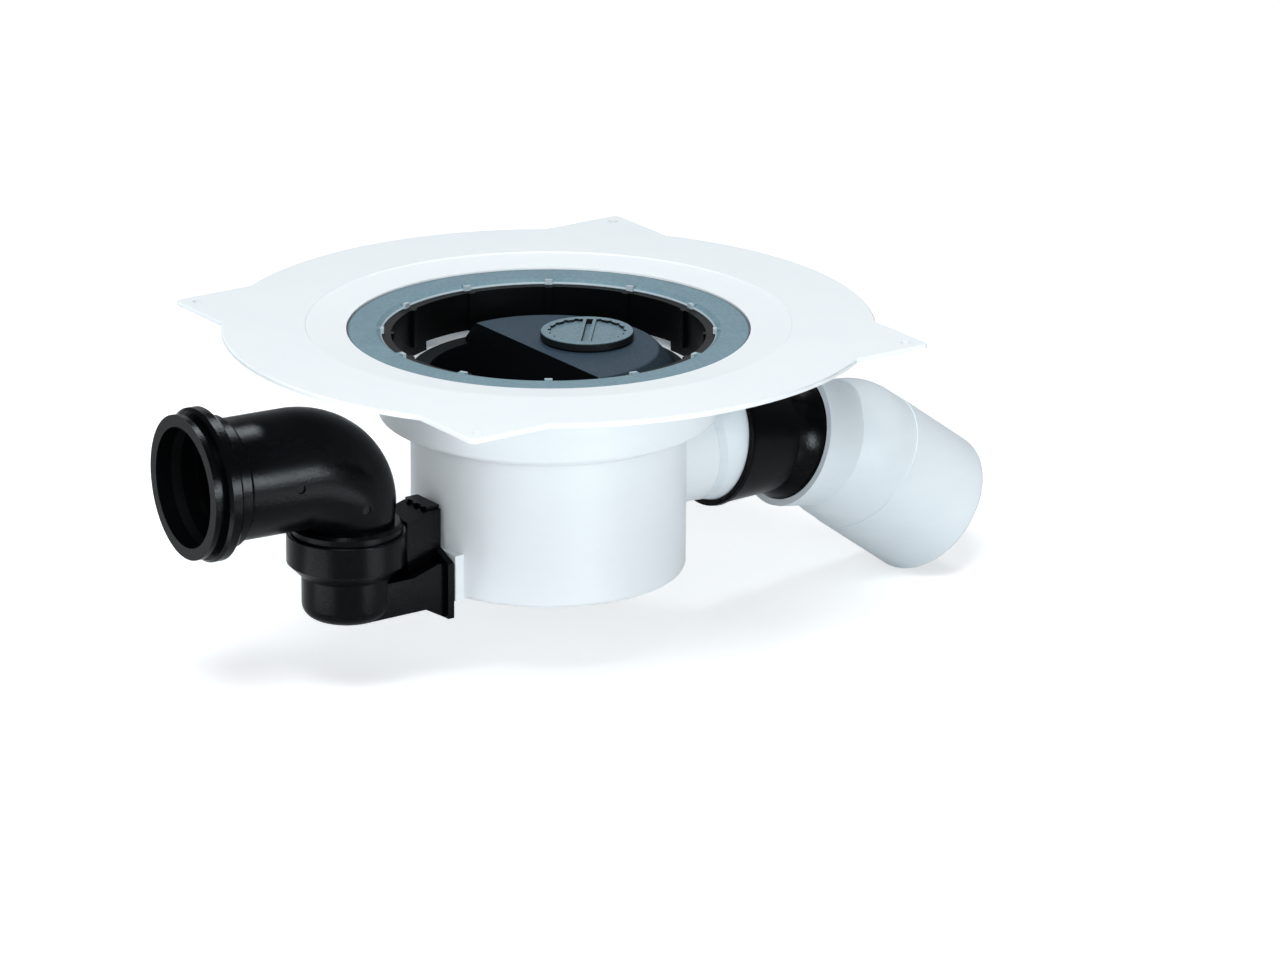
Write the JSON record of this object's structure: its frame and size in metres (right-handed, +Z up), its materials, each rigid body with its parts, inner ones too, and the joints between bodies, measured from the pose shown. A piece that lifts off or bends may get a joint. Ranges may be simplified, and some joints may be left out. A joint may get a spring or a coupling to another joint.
{
  "type": "floor drain body",
  "caption": "Floor drain body with a wide eared flange, lift-out water trap, swivelling side inlet elbow and a ball-jointed outlet spigot.",
  "frame": {"origin": "on the drain's upright axis, in the plane of the flange's top face, at the centre of the four ear holes", "axes": "+Z up out of the drain's mouth, +X the way the outlet leaves the drum, the inlet elbow on the -X side"},
  "size_m": [0.3197, 0.22, 0.1157],
  "materials": {
    "white_body": "satin white moulded plastic",
    "white_outlet": "satin white moulded plastic",
    "black_fitting": "satin black moulded plastic",
    "black_liner": "matt black moulded plastic",
    "trap_grey": "matt dark grey moulded plastic",
    "cap_grey": "satin grey moulded plastic",
    "grey_ring": "matt grey sealing rubber",
    "black_seal": "matt black sealing rubber"
  },
  "bodies": {
    "drain": {"drain_body": "white_body", "sealing_ring": "grey_ring", "sleeve": "black_liner", "trap_seal": "black_seal", "trap_cup": "trap_grey", "trap_cover": "trap_grey", "cap_seal": "black_seal", "cleaning_cap": "cap_grey", "outlet_ball": "white_outlet", "inlet_gasket": "black_seal", "inlet_adapter": "black_fitting", "elbow_retainer": "black_fitting", "elbow_seal": "black_seal"},
    "inlet": {"elbow": "black_fitting", "socket_seal": "black_seal"},
    "coupling": {"ball_coupling": "black_fitting", "coupling_seal": "black_seal"},
    "spigot": {"outlet_spigot": "white_outlet", "cup_retainer": "white_outlet", "spigot_seal": "black_seal"}
  },
  "joints": [
    {"name": "elbow_swivel", "type": "hinge", "parent": "drain", "child": "inlet", "pos_m": [-0.081, 0, -0.0637], "axis": [0, 0, 1], "range_deg": [-85, 95]},
    {"name": "coupling_swing", "type": "hinge", "parent": "drain", "child": "coupling", "pos_m": [0.0682, 0, -0.0532], "axis": [0, 0, 1], "range_deg": [-10, 10]},
    {"name": "spigot_tilt", "type": "hinge", "parent": "coupling", "child": "spigot", "pos_m": [0.10207, 0, -0.05978], "axis": [0, 1, 0], "range_deg": [-22, 8]}
  ]
}
